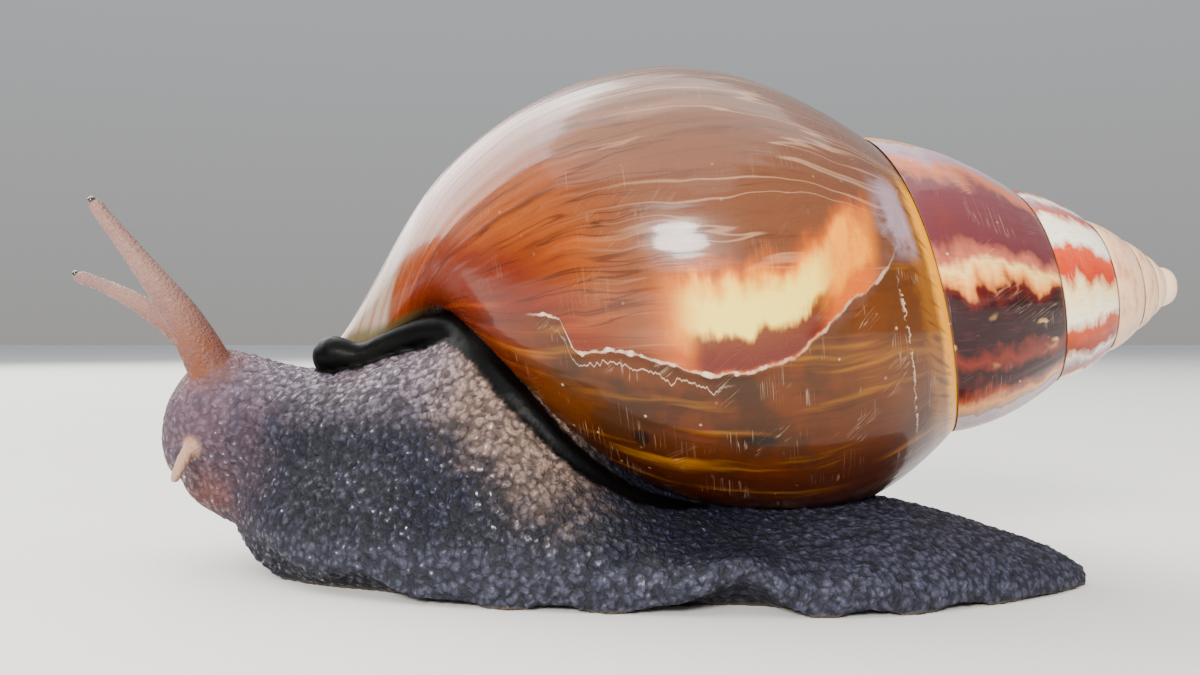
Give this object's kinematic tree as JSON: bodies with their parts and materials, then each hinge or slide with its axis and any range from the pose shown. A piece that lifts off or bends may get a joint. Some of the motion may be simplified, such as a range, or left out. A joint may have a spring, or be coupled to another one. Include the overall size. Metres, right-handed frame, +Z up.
{
  "type": "giant african land snail",
  "caption": "Life-size giant land snail crawling, with a long conical coiled shell, a broad tapering foot and raised eye tentacles.",
  "frame": {"origin": "centre of the bounding box on the floor, under the foot", "axes": "+X towards the tip of the shell and the tail, so the head faces -X; +Y towards the animal's right side; +Z up; the sole lies on z = 0"},
  "size_m": [0.1354, 0.057, 0.0587],
  "materials": {
    "shell_body": "glossy chestnut brown shell with fine growth lines, cream and purple patches and a cream repaired scar",
    "shell_spire": "satin shell, dark purple-brown next to the last turn and cream with orange flames towards the tip",
    "skin": "moist dark slate skin covered in small raised tubercles",
    "mantle": "wet smooth near-black",
    "tentacle": "moist fine-grained terracotta brown, mauve-grey towards the tip",
    "eye": "glossy dark eye spot in a pale tip"
  },
  "bodies": {
    "root": {"shell_body_whorl": "shell_body", "shell_penultimate_whorl": "shell_spire", "shell_third_whorl": "shell_spire", "shell_apex": "shell_spire", "mantle_collar": "mantle", "trunk": "skin", "tail": "skin", "foot_front": "skin", "neck": "skin", "head": "skin", "eye_stalk_left": "tentacle", "eye_stalk_right": "tentacle", "lower_tentacle_left": "tentacle", "lower_tentacle_right": "tentacle", "eye_left": "eye", "eye_right": "eye"}
  },
  "joints": []
}
